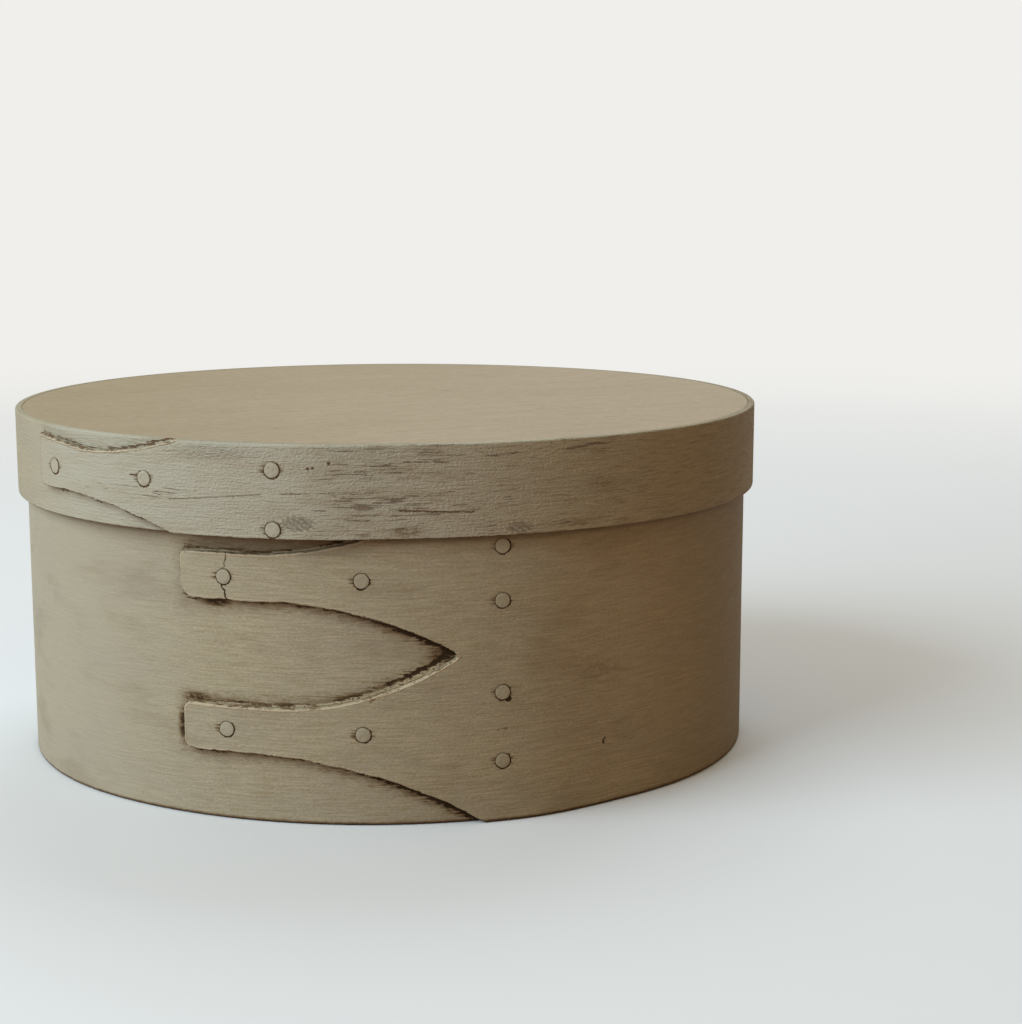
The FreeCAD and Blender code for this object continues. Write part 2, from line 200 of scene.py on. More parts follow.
class StageSettings(bpy.types.PropertyGroup):
    """Camera, light and floor."""
    distance: length("Distance", "From the box's centre to the camera, over the floor", 497.3)
    height: length("Height", "Height of the camera", 142.2)
    yaw: degrees("Yaw", "Turn of the camera to the right", 3.49)
    pitch: degrees("Pitch", "Tilt of the camera downwards", 10.004)
    focal_length: FloatProperty(name="Focal length", description="Lens, for a 36 mm sensor",
                                default=70.85)
    room: tint("Room", "Colour of the light from all round", 164, 140, 110)
    daylight: tint("Daylight", "Colour of both soft lights", 238, 248, 255)
    key: FloatProperty(name="Window light", description="Power of the large soft light", default=13.2,
                       unit="POWER")
    back: FloatProperty(name="Back light", description="Power of the soft light behind", default=6.3,
                        unit="POWER")
    floor: tint("Floor", "Plain floor", 231, 242, 250)
    backdrop: tint("Backdrop", "What is seen behind the floor", 240, 239, 236)
    bounce: tint("Floor bounce", "What the floor throws back on the box", 158, 112, 80)
    floor_reach: length("Floor reach", "From the box's centre to the floor's edges", 6000.0)
    fade_near: length("Fade from", "Where the floor begins to melt into the backdrop", 300.0)
    fade_far: length("Fade to", "Where the floor has melted into the backdrop", 950.0)
    light_size: length("Light size", "Side of both soft lights", 900.0)
    light_aim: length("Light aim", "Height that both lights point at", 30.0)
    window_at: lengths("Window place", "Where the window light is", -880.0, -500.0, 620.0)
    back_at: lengths("Back place", "Where the light behind is", 250.0, 800.0, 1000.0)


def settings():
    return bpy.context.scene.oval_box


class OvalBoxSettings(bpy.types.PropertyGroup):
    """Everything that can be set."""
    bands: PointerProperty(type=BandSizes)
    box_band: PointerProperty(type=BoxBandSizes)
    lid_band: PointerProperty(type=LidBandSizes)
    fasteners: PointerProperty(type=FastenerSizes)
    colours: PointerProperty(type=PaintColours)
    stage: PointerProperty(type=StageSettings)


# ---------------------------------------------------------------- the oval and the flat strip


class Oval:
    """An oval of four tangent arcs.  Places along it run from the front, positive towards +X."""

    def __init__(self, front_radius, back_radius, reach, half_length):
        self.front_radius = front_radius
        self.back_radius = back_radius
        self.reach = reach
        self.half_length = half_length
        end_radius, end_y = self.fit_end()
        right = Vector((half_length - end_radius, end_y, 0))
        left = Vector((end_radius - half_length, end_y, 0))
        front = Vector((0, reach, 0))
        back = Vector((0, -reach, 0))
        to_front = math.atan2(right.y - front.y, right.x)
        to_back = math.atan2(right.y - back.y, right.x)
        self.arcs = [
            (front, front_radius, -math.pi / 2, to_front),
            (right, end_radius, to_front, to_back),
            (back, back_radius, to_back, math.pi - to_back),
            (left, end_radius, math.pi - to_back, math.pi - to_front),
            (front, front_radius, math.pi - to_front, 3 * math.pi / 2),
        ]
        self.perimeter = sum(radius * (end - start) for centre, radius, start, end in self.arcs)

    def fit_end(self):
        """Radius and centre height in plan of the end arc that is tangent to both sides."""
        front, back, reach = self.front_radius, self.back_radius, self.reach
        shift = (back ** 2 - front ** 2) / (4 * reach) - reach
        slope = (front - back) / (2 * reach)
        linear = 2 * (front - self.half_length + shift * slope)
        constant = self.half_length ** 2 - front ** 2 + shift ** 2
        root = math.sqrt(linear ** 2 - 4 * slope ** 2 * constant)
        end_radius = -2 * constant / (linear + root)
        return end_radius, shift + reach + slope * end_radius

    def grown(self, offset):
        return Oval(self.front_radius + offset, self.back_radius + offset, self.reach,
                    self.half_length + offset)

    def arc_at(self, place):
        run = place % self.perimeter
        for centre, radius, start, end in self.arcs:
            if run <= radius * (end - start):
                break
            run -= radius * (end - start)
        return centre, radius, start + run / radius

    def normal(self, place):
        angle = self.arc_at(place)[2]
        return Vector((math.cos(angle), math.sin(angle), 0))

    def point(self, place, offset, height):
        centre, radius, angle = self.arc_at(place)
        outward = Vector((math.cos(angle), math.sin(angle), 0))
        return centre + outward * (radius + offset) + Vector((0, 0, height))

    def axes(self, place, offset, height):
        """Axes at a spot on the band: x along it, y up and z outwards."""
        outward = self.normal(place)
        along = Vector((-outward.y, outward.x, 0))
        turned = Matrix((along, Vector((0, 0, 1)), outward)).transposed().to_4x4()
        return Matrix.Translation(self.point(place, offset, height)) @ turned


def box_oval():
    """Outer face of the box's band, round its bottom board."""
    end_radius = settings().bands.end_radius
    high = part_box("box_bottom")[1]
    thickness = settings().box_band.thickness
    half_length, half_width = high.x + thickness, high.y + thickness
    squares = half_length ** 2 + half_width ** 2 - 2 * half_length * end_radius
    side_radius = squares / (2 * (half_width - end_radius))
    return Oval(side_radius, side_radius, side_radius - half_width, half_length)


def lid_oval():
    """Outer face of the lid's band, round its board."""
    low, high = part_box("lid_board")
    reach = box_oval().reach
    return Oval(reach - low.y, reach + high.y, reach, high.x).grown(settings().lid_band.thickness)


def smooth_step(part):
    part = min(1.0, max(0.0, part))
    return part * part * (3 - 2 * part)


class FingerEdge:
    """A long edge of a finger: straight near the tip, then an arc that climbs or falls away."""

    def __init__(self, line, radius, straight, climb, flare=0.0):
        self.line = line
        self.radius = radius
        self.straight = straight
        self.climb = climb
        self.flare = flare

    def height(self, inset):
        reach = inset - self.straight
        if reach < 0:
            return self.line - self.climb * reach * self.flare
        return self.line + self.climb * (self.radius - math.sqrt(self.radius ** 2 - reach ** 2))

    def inset_at(self, height):
        rise = abs(height - self.line)
        return self.straight + math.sqrt(self.radius ** 2 - (self.radius - rise) ** 2)


class Strip:
    """A band laid out flat: x is the run along its outer face, y the height, z the depth of wood."""

    def __init__(self, oval, sizes, low, high, edges, board):
        shared = settings().bands
        self.oval = oval
        self.sizes = sizes
        self.board = board
        self.thickness = sizes.thickness
        self.foot = sizes.foot_round
        self.low = low
        self.high = high
        self.tip = sizes.tip_at
        self.row = sizes.tip_at + sizes.row
        self.edges = edges
        self.corner_radii = tuple(sizes.corner_radii)
        self.slit = shared.slit
        self.feather_from = self.row + shared.row_to_feather
        self.feather_to = self.feather_from + shared.feather_length
        self.feather_drop = self.thickness - shared.feather_tip
        self.end = oval.perimeter + self.feather_to
        self.middles = [(lower.line + upper.line) / 2 for lower, upper in zip(edges[::2], edges[1::2])]
        self.tacks = [(self.tip + inset, middle) for middle in reversed(self.middles)
                      for inset in (sizes.tip_tack, sizes.second_tack)]

    def layer(self, run):
        """Offsets of the inner and outer faces of the wood at a run along the strip."""
        turn = self.oval.perimeter
        fall = smooth_step((run - self.feather_from) / (self.feather_to - self.feather_from))
        if run < self.feather_to:
            return self.slit - fall * self.feather_drop, (self.slit + self.thickness) * (1 - fall)
        fall = smooth_step((run - turn - self.feather_from) / (self.feather_to - self.feather_from))
        return -self.thickness, -fall * self.feather_drop

    def hollow(self, run, height):
        """How far the bent wood has drawn in, away from the board that holds it."""
        held = min(abs(height - self.board[0].z), abs(height - self.board[1].z))
        free = smooth_step((held - 5 * mm) / (25 * mm))
        turn = self.oval.perimeter
        place = run if run < turn / 2 else run - turn
        uneven = noise.noise(Vector((place / (30 * mm), height / (24 * mm), 3.1)))
        return settings().bands.bulge * free * (1 - uneven) / 2

    def worn(self, height):
        """How far wear has taken the outer face back near the lower rim."""
        reach = self.foot - min(self.foot, height - self.low)
        return self.foot - math.sqrt(self.foot ** 2 - reach ** 2)

    def outline(self):
        """Points of the cut outline, from the lower rim round the fingers to the upper rim."""
        shared = settings().bands
        points, rounds = [], []
        for number, edge in enumerate(self.edges):
            inward = number % 2 == 0
            if inward and number:
                rounds.append((len(points), shared.crotch_round))
            if number == 0:
                far = edge.inset_at(self.low)
            elif number == len(self.edges) - 1:
                far = edge.inset_at(self.high)
            else:
                far = edge.inset_at((self.edges[1].line + self.edges[2].line) / 2)
            near = self.corner_radii[number] * 1.4
            count = round((far - near) / shared.outline_step)
            insets = [0.0] + [near + (far - near) * index / count for index in range(count + 1)]
            if 0 < number < len(self.edges) - 1:
                insets = [inset for inset in insets if inset < far - 1.2 * shared.crotch_round]
                if inward:
                    insets.append(far)
            for inset in reversed(insets) if inward else insets:
                slow = noise.noise(Vector((inset / (5 * mm), number * 7.3, 0.5)))
                quick = noise.noise(Vector((inset / (1.7 * mm), number * 5.1, 4.5)))
                waver = shared.knife_waver * (slow + 0.5 * quick)
                steady = min(1.0, (far - inset) / (6 * mm))
                if inset == 0.0:
                    rounds.append((len(points), self.corner_radii[number]))
                points.append(Vector((self.tip + inset, edge.height(inset) + waver * steady, 0)))
        return points, rounds


def box_strip():
    sizes = settings().box_band
    low, high = (corner.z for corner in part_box("box_band"))
    low_line, high_line = low + sizes.low_notch, high - sizes.high_notch
    middle = (low_line + high_line) / 2
    edges = [
        FingerEdge(low_line, sizes.notch_radius, sizes.notch_straight, -1),
        FingerEdge(middle - sizes.arch_half_width, sizes.arch_radius, sizes.arch_straight, 1),
        FingerEdge(middle + sizes.arch_half_width, sizes.arch_radius, sizes.arch_straight, -1),
        FingerEdge(high_line, sizes.notch_radius, sizes.notch_straight, 1),
    ]
    strip = Strip(box_oval(), sizes, low, high, edges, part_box("box_bottom"))
    lower, upper = strip.middles
    strip.tacks += [(strip.row, upper + rise) for rise in sizes.high_row]
    strip.tacks += [(strip.row, lower + rise) for rise in sizes.low_row]
    return strip


def lid_strip():
    sizes = settings().lid_band
    low, high = (corner.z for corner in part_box("lid_band"))
    edges = [
        FingerEdge(low + sizes.low_notch, sizes.low_radius, sizes.low_straight, -1),
        FingerEdge(high - sizes.high_notch, sizes.high_radius, sizes.high_straight, 1, sizes.high_flare),
    ]
    strip = Strip(lid_oval(), sizes, low, high, edges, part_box("lid_board"))
    strip.tacks += [(strip.row, strip.middles[0] + rise) for rise in sizes.row_rises]
    return strip


def peg_spots(strip):
    """Even places round the stretch of band that is a single layer, level with the board's middle."""
    fasteners = settings().fasteners
    first = strip.feather_to + fasteners.peg_margin
    last = strip.oval.perimeter + strip.tip - fasteners.peg_margin
    height = (strip.board[0].z + strip.board[1].z) / 2
    gap = (last - first) / (fasteners.pegs - 1)
    return [(first + gap * index, height) for index in range(fasteners.pegs)]


# ---------------------------------------------------------------- shaping


def whole(bm):
    return bm.verts[:] + bm.edges[:] + bm.faces[:]


def extruded(bm, faces, move):
    """Draw faces out by a move; the new corners and the new faces."""
    grown = bmesh.ops.extrude_face_region(bm, geom=faces)["geom"]
    verts = [item for item in grown if isinstance(item, bmesh.types.BMVert)]
    bmesh.ops.translate(bm, verts=verts, vec=move)
    return verts, [item for item in grown if isinstance(item, bmesh.types.BMFace)]


def ease(bm, edges, size, segments, clamped=False):
    """Round off edges."""
    bmesh.ops.bevel(bm, geom=edges, offset=size, offset_type="OFFSET", segments=segments,
                    profile=0.5, affect="EDGES", clamp_overlap=clamped, material=-1)


def slice_flat(bm, axis, positions):
    """Cut the mesh across one axis, so that it can bend there."""
    normal = Vector((0, 0, 0))
    normal[axis] = 1.0
    for position in positions:
        bmesh.ops.bisect_plane(bm, geom=whole(bm), dist=1e-7, plane_co=normal * position, plane_no=normal)


def cut_positions(first, last, step, spots, half):
    """Even positions, with a clear cell of a given half width round each spot."""
    count = round((last - first) / step)
    even = [first + (last - first) * index / count for index in range(1, count)]
    clear = [p for p in even if all(abs(p - spot) > 1.35 * half for spot in spots)]
    return sorted(clear + [spot + side * half for spot in set(spots) for side in (-1, 1)])


def sink_seat(bm, strip, spot, radius, depth, sides):
    """Let a round or many-sided seat into the one face that lies round a spot."""
    centre = Vector((spot[0], spot[1], strip.thickness))
    face = min((f for f in bm.faces if f.normal.z > 0.9),
               key=lambda f: (f.calc_center_median() - centre).length)
    bmesh.ops.bisect_edges(bm, edges=face.edges[:], cuts=sides // 4 - 1, edge_percents={})
    rings = ((radius, 0.0), (radius - 0.04 * mm, -depth))
    for ring_radius, rise in rings:
        bmesh.ops.inset_region(bm, faces=[face], thickness=0.01 * mm, use_even_offset=True)
        for vert in face.verts:
            outward = vert.co - centre
            outward.z = 0
            vert.co = centre + outward.normalized() * ring_radius + Vector((0, 0, rise))


def bend(bm, strip):
    """Bend the flat strip round its oval, and keep where each point lay while it was flat."""
    flat = bm.verts.layers.float_vector.new("strip")
    for vert in bm.verts:
        run, height, depth = vert.co
        vert[flat] = vert.co
        inner, outer = strip.layer(run)
        outwards = depth / strip.thickness
        offset = inner + (outer - inner - strip.worn(height)) * outwards - strip.hollow(run, height)
        vert.co = strip.oval.point(run, offset, height)


def finish_mesh(bm, name, materials, body, slot, *nodes):
    """Turn a bmesh into a piece that rides on a body and stands for its solid nodes."""
    bmesh.ops.recalc_face_normals(bm, faces=bm.faces[:])
    if bm.calc_volume(signed=True) < 0:
        bmesh.ops.reverse_faces(bm, faces=bm.faces[:])
    for face in bm.faces:
        face.smooth = True
    mesh = bpy.data.meshes.new(name)
    bm.to_mesh(mesh)
    bm.free()
    mesh.set_sharp_from_angle(angle=settings().bands.sharp_angle)
    for material in materials:
        mesh.materials.append(material)
    piece = bpy.data.objects.new(name, mesh)
    bpy.context.scene.collection.objects.link(piece)
    weighted = piece.modifiers.new("Weighted normals", "WEIGHTED_NORMAL")
    weighted.keep_sharp = True
    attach(piece, body)
    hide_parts(*nodes)


def make_band(strip, name, material, body, node):
    """A strip cut out flat, its edges eased and its seats sunk, then bent round the form."""
    shared = settings().bands
    fasteners = settings().fasteners
    bm = bmesh.new()
    points, rounds = strip.outline()
    points += [Vector((strip.end, strip.high, 0)), Vector((strip.end, strip.low, 0))]
    verts = [bm.verts.new(point) for point in points]
    bm.faces.new(reversed(verts))
    for index, radius in rounds:
        bmesh.ops.bevel(bm, geom=[verts[index]], offset=radius, offset_type="OFFSET", segments=4,
                        profile=0.5, affect="VERTICES", material=-1)
    raised = extruded(bm, bm.faces[:], (0, 0, strip.thickness))[0]
    bm.normal_update()
    outer_edges = [edge for edge in bm.edges if all(vert in raised for vert in edge.verts)
                   and min(vert.co.x for vert in edge.verts) < strip.end - mm]
    ease(bm, outer_edges, shared.edge_round, 3, clamped=True)
    pegs = peg_spots(strip)
    seat = fasteners.head / 2 + fasteners.ring
    cell = seat + 0.1 * mm
    runs = [spot[0] for spot in strip.tacks + pegs]
    heights = [spot[1] for spot in strip.tacks + pegs[:1]]
    slice_flat(bm, 1, [strip.low + strip.foot * step for step in (0.15, 0.4, 0.7, 1.0)])
    slice_flat(bm, 1, cut_positions(strip.low, strip.high, shared.height_step, heights, cell))
    slice_flat(bm, 0, cut_positions(strip.tip, strip.end, shared.run_step, runs, cell))
    slice_flat(bm, 0, [strip.feather_to, strip.feather_to + 0.05 * mm])
    for spot in strip.tacks:
        sink_seat(bm, strip, spot, seat, fasteners.sink, fasteners.head_sides)
    for spot in pegs:
        sink_seat(bm, strip, spot, fasteners.peg / 2, fasteners.peg_seat, fasteners.peg_sides)
    bend(bm, strip)
    finish_mesh(bm, name, [material], body, "painted_wood", node)


def make_board(strip, name, eased, material, body, slot, node):
    """A board cut to the inside of a band, the edge of one face eased, cut across so that it can cup."""
    shared = settings().bands
    low, high = (corner.z for corner in strip.board)
    bm = bmesh.new()
    count = shared.board_sides
    bmesh.ops.create_circle(bm, cap_ends=True, segments=count, radius=1.0)
    bm.verts.ensure_lookup_table()
    for index, vert in enumerate(bm.verts):
        place = strip.oval.perimeter * index / count
        vert.co = strip.oval.point(place, -strip.thickness - shared.board_gap, low)
    raised = extruded(bm, bm.faces[:], (0, 0, high - low))[0]
    ease(bm, [edge for edge in bm.edges if all(vert in raised for vert in edge.verts)], eased, 3)
    for axis in (0, 1):
        slice_flat(bm, axis, [step * 8 * mm for step in range(-11, 12)])
    sag = shared.sag if low < strip.low + mm else -shared.sag
    for vert in bm.verts:
        edge = strip.oval.half_length - Vector((vert.co.x, vert.co.y, 0)).length
        free = smooth_step(edge / (30 * mm))
        vert.co.z += sag * free * (0.6 + 0.4 * noise.noise(Vector((vert.co.x * 8, vert.co.y * 30, 0))))
    finish_mesh(bm, name, [material], body, slot, node)


def make_tack(strip, spot, number, name, materials, body, node):
    """One tack: a hammered head, a round shank, and a point turned over on the inside."""
    sizes = settings().fasteners
    radius = sizes.head / 2
    bm = bmesh.new()
    bmesh.ops.create_circle(bm, cap_ends=True, segments=sizes.head_sides, radius=radius)
    back = bm.faces[:][0]
    if back.normal.z > 0:
        back.normal_flip()
    top = extruded(bm, [back], (0, 0, sizes.rim))[1][0]
    for inset, rise in ((0.12, 0.55), (0.22, 0.3), (0.5, 0.15)):
        bmesh.ops.inset_region(bm, faces=[top], thickness=inset * radius, use_even_offset=True)
        bmesh.ops.translate(bm, verts=top.verts[:], vec=(0, 0, rise * sizes.crown))
    for vert in bm.verts:
        wobble = noise.noise(Vector((vert.co.x / mm, vert.co.y / mm, number * 5.7)))
        vert.co.x *= 1 + 0.05 * wobble
        vert.co.y *= 1 - 0.05 * wobble
        vert.co.z += 0.04 * mm * wobble * (vert.co.z > 0)
    stack = strip.slit + 2 * strip.thickness
    half = sizes.shank / 2
    bmesh.ops.inset_region(bm, faces=[back], thickness=radius - half, use_even_offset=True)
    bmesh.ops.translate(bm, verts=back.verts[:], vec=(0, 0, -0.02 * mm))
    turned = ((0, -stack + sizes.sink - 0.1 * mm, 1.0), (half, -stack + sizes.sink - sizes.proud, 0.8),
              (sizes.clinch, -stack + sizes.sink + 0.1 * mm, 0.25))
    for along, depth, size in turned:
        inner = back
        back = extruded(bm, [inner], (0, 0, 0))[1][0]
        bm.faces.remove(inner)
        centre = back.calc_center_median()
        wide = max((vert.co - centre).length for vert in back.verts)
        for vert in back.verts:
            vert.co = Vector((along, depth, 0)).xzy + (vert.co - centre) * (half * size / wide)
            if along:
                vert.co = Vector((along, vert.co.y, depth - vert.co.x + along))
    for face in bm.faces:
        face.material_index = 1 if face.calc_center_median().z < -0.01 * mm else 0
    seat = strip.slit + strip.thickness - sizes.sink - strip.hollow(*spot)
    lean = [0.09 * noise.noise(Vector((number * 3.7, strip.tip * 100, level))) for level in (1.3, 8.6)]
    driven = Matrix.Rotation(lean[0], 4, "X") @ Matrix.Rotation(lean[1], 4, "Y")
    bm.transform(strip.oval.axes(spot[0], seat, spot[1]) @ driven)
    finish_mesh(bm, name, materials, body, "painted_tack", node)


def make_peg(strip, spot, name, material, body, node):
    """One whittled peg through the band into the board, cut off flush and painted with the band."""
    sizes = settings().fasteners
    bm = bmesh.new()
    bmesh.ops.create_circle(bm, cap_ends=True, segments=sizes.peg_sides, radius=sizes.peg / 2 - 0.04 * mm)
    top = extruded(bm, bm.faces[:], (0, 0, sizes.peg_length))[1][0]
    ease(bm, top.edges[:], sizes.peg_ease, 2)
    flat = bm.verts.layers.float_vector.new("strip")
    for vert in bm.verts:
        vert[flat] = (spot[0] + vert.co.x, spot[1] + vert.co.y, strip.thickness)
    bm.transform(strip.oval.axes(spot[0], -sizes.peg_length, spot[1]))
    finish_mesh(bm, name, [material], body, "peg_wood", node)


# ---------------------------------------------------------------- shader expressions


def arithmetic(operation):
    """A method that adds one Math node."""
    return lambda value, *others: value.math(operation, *others)


class Value:
    """A socket in a node tree, on which expressions add Math nodes."""

    def __init__(self, tree, socket):
        self.tree = tree
        self.socket = socket

    def math(self, operation, *others):
        return self.tree.node("ShaderNodeMath", {"operation": operation}, (self,) + others)[0]

    __add__ = __radd__ = arithmetic("ADD")
    __sub__ = arithmetic("SUBTRACT")
    __mul__ = __rmul__ = arithmetic("MULTIPLY")
    __truediv__ = arithmetic("DIVIDE")
    __abs__ = arithmetic("ABSOLUTE")
    __gt__ = arithmetic("GREATER_THAN")
    __lt__ = arithmetic("LESS_THAN")
    root = arithmetic("SQRT")
    above = arithmetic("MAXIMUM")
    below = arithmetic("MINIMUM")

    def __neg__(self):
        return self * -1

    def __rsub__(self, other):
        return -self + other

    def ramp(self, low, high):
        """0 up to low, 1 from high on, smooth between; low may be the larger."""
        ends = (low, high, 0.0, 1.0) if low < high else (high, low, 1.0, 0.0)
        smooth = {"interpolation_type": "SMOOTHSTEP"}
        return self.tree.node("ShaderNodeMapRange", smooth, (self,) + ends)[0]


def size_of(across, up):
    """Length of a flat vector."""
    return (across * across + up * up).root()


def line_distance(place, height, start, end):
    """How far a place is from a straight scratch."""
    run = (end[0] - start[0], end[1] - start[1])
    size = run[0] ** 2 + run[1] ** 2
    along = (place - start[0]) * (run[0] / size) + (height - start[1]) * (run[1] / size)
    along = along.above(0).below(1)
    return size_of(place - start[0] - along * run[0], height - start[1] - along * run[1])


def opaque(colour):
    return colour if isinstance(colour, Value) else (*colour[:3], 1.0)


class Tree:
    """A node tree under construction."""

    def __init__(self, owner):
        owner.use_nodes = True
        self.nodes = owner.node_tree.nodes
        self.links = owner.node_tree.links
        self.nodes.clear()

    def fill(self, socket, value):
        if isinstance(value, Value):
            self.links.new(value.socket, socket)
        else:
            socket.default_value = value

    def node(self, kind, options, sockets):
        """Add a node, set it up, then fill its sockets, named or in order; its outputs are Values."""
        node = self.nodes.new(kind)
        for key, value in options.items():
            setattr(node, key, value)
        for key, value in sockets.items() if isinstance(sockets, dict) else enumerate(sockets):
            self.fill(node.inputs[key], value)
        return [Value(self, socket) for socket in node.outputs]

    def mix(self, amount, first, second):
        """Blend two colours."""
        sockets = {0: amount, 6: opaque(first), 7: opaque(second)}
        return self.node("ShaderNodeMix", {"data_type": "RGBA"}, sockets)[2]


class Finish(Tree):
    """A material under construction."""

    def __init__(self, name):
        self.material = bpy.data.materials.new(name)
        super().__init__(self.material)
        surface = self.node("ShaderNodeBsdfPrincipled", {}, {})[0]
        self.shader = surface.socket.node
        self.node("ShaderNodeOutputMaterial", {}, {"Surface": surface})

    def set(self, name, value):
        self.fill(self.shader.inputs[name], value)

    def done(self, colour, roughness, relief, depth):
        """Set the colour, the roughness and a bump of a given depth, and hand over the material."""
        self.set("Base Color", colour)
        self.set("Roughness", roughness)
        sockets = {"Strength": 1.0, "Distance": depth, "Height": relief}
        self.set("Normal", self.node("ShaderNodeBump", {}, sockets)[0])
        return self.material

    def coated(self, colour, *coats):
        """A colour under coats of others, each given as an amount and a colour."""
        for amount, coat in coats:
            colour = self.mix(amount, colour, coat)
        return colour

    def place(self):
        """Where a spot is, in the piece's own axes."""
        return self.node("ShaderNodeTexCoord", {}, {})[3]

    def parts(self, vector):
        """The three parts of a vector."""
        return self.node("ShaderNodeSeparateXYZ", {}, (vector,))

    def grain(self, vector, size, detail=2.0, roughness=0.5, distortion=0.0):
        """Noise in grains of a real size, in millimetres along each axis."""
        factors = [1 / (side * mm) for side in size]
        spread = self.node("ShaderNodeVectorMath", {"operation": "MULTIPLY"}, (vector, factors))[0]
        sockets = {"Vector": spread, "Scale": 1.0, "Detail": detail, "Roughness": roughness,
                   "Distortion": distortion}
        return self.node("ShaderNodeTexNoise", {}, sockets)[0]


# ---------------------------------------------------------------- paint on the bands


class BandPaint:
    """Aged milk paint over a band, worked out on the strip laid flat."""

    def __init__(self, strip, name):
        self.strip = strip
        self.finish = finish = Finish(name)
        self.flat = finish.node("ShaderNodeAttribute", {"attribute_name": "strip"}, {})[1]
        run, self.height, self.depth = finish.parts(self.flat)
        turn = strip.oval.perimeter
        self.under = run > turn / 2
        self.over = 1 - self.under
        self.place = run - self.under * turn

        drift = finish.grain(self.flat, (26, 11, 9), 1.0)
        shift = finish.node("ShaderNodeCombineXYZ", {}, (0.0, (drift - 0.5) * 1.8 * mm, 0.0))[0]
        self.waved = finish.node("ShaderNodeVectorMath", {"operation": "ADD"}, (self.flat, shift))[0]
        self.brush = finish.grain(self.waved, (6.0, 0.9, 0.9), 4.0, 0.65)
        self.hair = finish.grain(self.waved, (7.0, 0.42, 0.5), 3.0, 0.6)
        self.speck = finish.grain(self.waved, (0.62, 0.46, 0.5), 1.0, 0.5)
        self.ragged = finish.grain(self.waved, (1.9, 0.8, 0.8), 4.0, 0.7)
        self.wander = self.ragged - 0.5
        self.streaked = self.hair - 0.5
        in_front = self.place.ramp(-78 * mm, -34 * mm) * self.place.ramp(250 * mm, 130 * mm)
        self.worked = in_front * 0.6 + 0.4
        self.outside, self.upward = self.finger_outline()

    def finger_outline(self):
        """How far a spot lies outside the fingers, and 1 over or 0 under the middle of the nearest."""
        strip, height = self.strip, self.height
        inset = self.place - strip.tip
        lines = []
        for edge in strip.edges:
            reach = (inset - edge.straight).above(0.0).below(edge.radius)
            drop = edge.radius - (edge.radius ** 2 - reach * reach).root()
            if edge.flare:
                drop = drop + (edge.straight - inset).above(0.0) * edge.flare
            lines.append(drop * edge.climb + edge.line)
        fingers = []
        for number, middle in enumerate(strip.middles):
            (lower, upper), rounds = lines[2 * number:2 * number + 2], strip.corner_radii[2 * number:]
            below = (-inset).math("SMOOTH_MAX", lower - height, 1.17 * rounds[0])
            over = (-inset).math("SMOOTH_MAX", height - upper, 1.17 * rounds[1])
            fingers.append((below.above(over), (height - middle).ramp(-1.5 * mm, 1.5 * mm)))
        outside, upward = fingers[0]
        for other, other_upward in fingers[1:]:
            upward = upward + (other < outside) * (other_upward - upward)
            outside = outside.math("SMOOTH_MIN", other, 1.85 * settings().bands.crotch_round)
        return outside, upward

    def patch(self, along, up, half_length, half_height):
        """1 in the middle of an oval patch, 0 at its edge and past it."""
        across, rise = (self.place - along) / half_length, (self.height - up) / half_height
        return size_of(across, rise).ramp(1.0, 0.1)

    def coat(self, wear, stain, paler_cooler, under_lid_shade):
        """The paint: brushed, streaked and specked, then paled and cooled, stained, darkened with painted
        shade and rubbed through.
        """
        colours = settings().colours
        warm, pale = colours.paint_warm, colours.highlight
        brushed, worked = self.strip.sizes.brushed, self.worked
        blotch = self.finish.grain(self.flat, (34, 15, 9), 3.0, 0.55)
        return self.finish.coated(
            self.finish.mix(blotch.ramp(0.35, 0.65), colours.paint_cool, colours.paint),
            (self.brush.ramp(0.50, 0.70) * (0.35 * brushed) * worked, warm),
            (self.brush.ramp(0.48, 0.30) * (0.3 * brushed) * worked, pale),
            (self.hair.ramp(0.48, 0.68) * 0.6 * worked, warm),
            (self.hair.ramp(0.48, 0.32) * 0.5 * worked, pale),
            (self.speck.ramp(0.55, 0.72) * 0.5 * worked, pale),
            (self.speck.ramp(0.45, 0.28) * 0.5 * worked, warm),
            (paler_cooler, colours.paler_cooler), (stain, colours.stain), (under_lid_shade, colours.under_lid_shade), (wear, colours.bare))

    def edge_glaze(self, smudges):
        """Glaze left along the fingers, what it casts around it, and the lit ledge over their edges; the
        thick dark line under the fingers' lower edges is glaze and painted shadow too, and the lit ledge
        is a painted highlight.
        """
        strip, outside, wander, streaked = self.strip, self.outside, self.wander, self.streaked
        smeared, fillet = strip.sizes.smeared, strip.sizes.fillet
        broken = self.finish.grain(self.waved, (6.0, 3.0, 3.0), 2.0, 0.6)
        heavy = self.place.ramp(strip.tip + 24 * mm, strip.tip + 56 * mm)
        thick = heavy * 0.75 * mm + (0.2 + 0.25 * smeared) * mm
        rough_edge = outside + wander * 3.4 * mm + streaked * 1.8 * mm
        line = (thick - rough_edge).ramp(-0.3 * mm, 0.25 * mm)
        reach = outside + wander * 6.0 * mm + streaked * 6.5 * mm
        cast = reach.ramp(3.6 * mm, 0.1 * mm) * smeared * (0.5 + heavy * 0.5)
        # under a finger's lower edge the thick dark line is glaze and also the finger's painted shadow
        below = (line * (0.55 + heavy * 0.3 + broken.ramp(0.36, 0.5) * 0.25)).above(cast * 0.55)

        past_shelf = outside - fillet * (0.3 + heavy * 0.85) + wander * 1.5 * mm
        ledge = past_shelf.ramp(0.12 * mm, -0.12 * mm) * (outside > 0.0)
        off_line = abs(past_shelf - thick * 0.45 + streaked * 2.0 * mm) - thick * 0.45
        edge_line = off_line.ramp(0.22 * mm, -0.05 * mm)
        edge_line = edge_line * broken.ramp(0.36, 0.48) * (0.6 + heavy * 0.3 + wander * 1.4)
        above = edge_line.above(cast * 0.6 * (1 - ledge))
        above = above.above(ledge * (self.speck + streaked * 0.5).ramp(0.56, 0.64) * 0.55)
        glaze = below + self.upward * (above - below)

